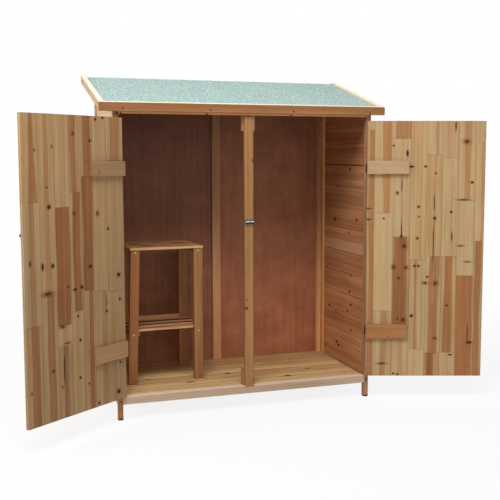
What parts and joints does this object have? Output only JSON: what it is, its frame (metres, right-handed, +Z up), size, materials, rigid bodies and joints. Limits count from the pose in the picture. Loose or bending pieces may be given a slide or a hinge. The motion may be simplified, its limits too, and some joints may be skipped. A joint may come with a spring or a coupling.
{
  "type": "garden storage cabinet",
  "caption": "Wooden garden storage cabinet with a low sloping felted roof, hinged doors with sliding bolts, a middle post and a loose slatted table inside.",
  "frame": {"origin": "on the ground, under the middle of the whole part's box, with both doors open as pictured", "axes": "+X to the right seen from the front, +Y from the doors to the back, +Z up"},
  "size_m": [2.236, 0.9824, 1.6258],
  "materials": {
    "frame_wood": "planed",
    "roof_edge_wood": "planed",
    "wall_wood": "planed",
    "floor_wood": "planed",
    "door_wood": "planed",
    "table_wood": "planed",
    "plywood": "sanded",
    "roof_felt": "mineral grit",
    "bolt_metal": "bright",
    "hinge_metal": "zinc plated",
    "fastener_metal": "zinc plated"
  },
  "bodies": {
    "cabinet": {"leg_front_left": "frame_wood", "leg_front_right": "frame_wood", "leg_rear_left": "frame_wood", "leg_rear_right": "frame_wood", "rail_front_bottom": "frame_wood", "rail_rear_bottom": "frame_wood", "rail_side_bottom_left": "frame_wood", "rail_side_bottom_right": "frame_wood", "lintel_front": "frame_wood", "rail_rear_top": "frame_wood", "rail_side_top_left": "frame_wood", "rail_side_top_right": "frame_wood", "rafter_middle": "frame_wood", "post_middle": "frame_wood", "post_block_bottom": "frame_wood", "post_block_top": "frame_wood", "side_boards_left": "wall_wood", "side_boards_right": "wall_wood", "floor_boards": "floor_wood", "floor_joists": "floor_wood", "back_panel_left": "plywood", "back_panel_right": "plywood", "back_batten_middle": "frame_wood", "back_batten_left": "frame_wood", "back_batten_right": "frame_wood", "roof_board": "plywood", "roof_felt": "roof_felt", "barge_board_left": "roof_edge_wood", "barge_board_right": "roof_edge_wood", "fascia_front": "roof_edge_wood", "frame_screws": "fastener_metal", "back_nails": "fastener_metal", "bolt_keepers": "bolt_metal", "keeper_screws": "fastener_metal", "hinge_leaves_left": "hinge_metal", "hinge_leaves_right": "hinge_metal", "hinge_pins": "hinge_metal", "leaf_screws": "fastener_metal"},
    "door_left": {"door_panel_left": "door_wood", "door_cleats_left": "door_wood", "hinge_straps_left": "hinge_metal", "bolt_plate_left": "bolt_metal", "door_screws_left": "fastener_metal"},
    "door_right": {"door_panel_right": "door_wood", "door_cleats_right": "door_wood", "hinge_straps_right": "hinge_metal", "bolt_plate_right": "bolt_metal", "door_screws_right": "fastener_metal"},
    "bolt_left": {"bolt_rod_left": "bolt_metal"},
    "bolt_right": {"bolt_rod_right": "bolt_metal"},
    "table": {"table_legs": "table_wood", "table_top_boards": "table_wood", "table_rails": "table_wood", "table_shelf_slats": "table_wood", "table_rear_stretcher": "table_wood", "table_screws": "fastener_metal"}
  },
  "joints": [
    {"name": "door_left_hinge", "type": "hinge", "parent": "cabinet", "child": "door_left", "pos_m": [-0.65615, -0.1138, 0.751], "axis": [0, 0, -1], "range_deg": [-141.8, 30]},
    {"name": "door_right_hinge", "type": "hinge", "parent": "cabinet", "child": "door_right", "pos_m": [0.56535, -0.1138, 0.751], "axis": [0, 0, 1], "range_deg": [-160.8, 11]},
    {"name": "bolt_left_slide", "type": "slide", "parent": "door_left", "child": "bolt_left", "axis": [-0.7859, -0.6184, 0], "range_m": [0, 0.026]},
    {"name": "bolt_right_slide", "type": "slide", "parent": "door_right", "child": "bolt_right", "axis": [0.9444, -0.3289, 0], "range_m": [0, 0.026]},
    {"name": "table_out_slide", "type": "slide", "parent": "cabinet", "child": "table", "axis": [0, -1, 0], "range_m": [0, 0.78]}
  ]
}
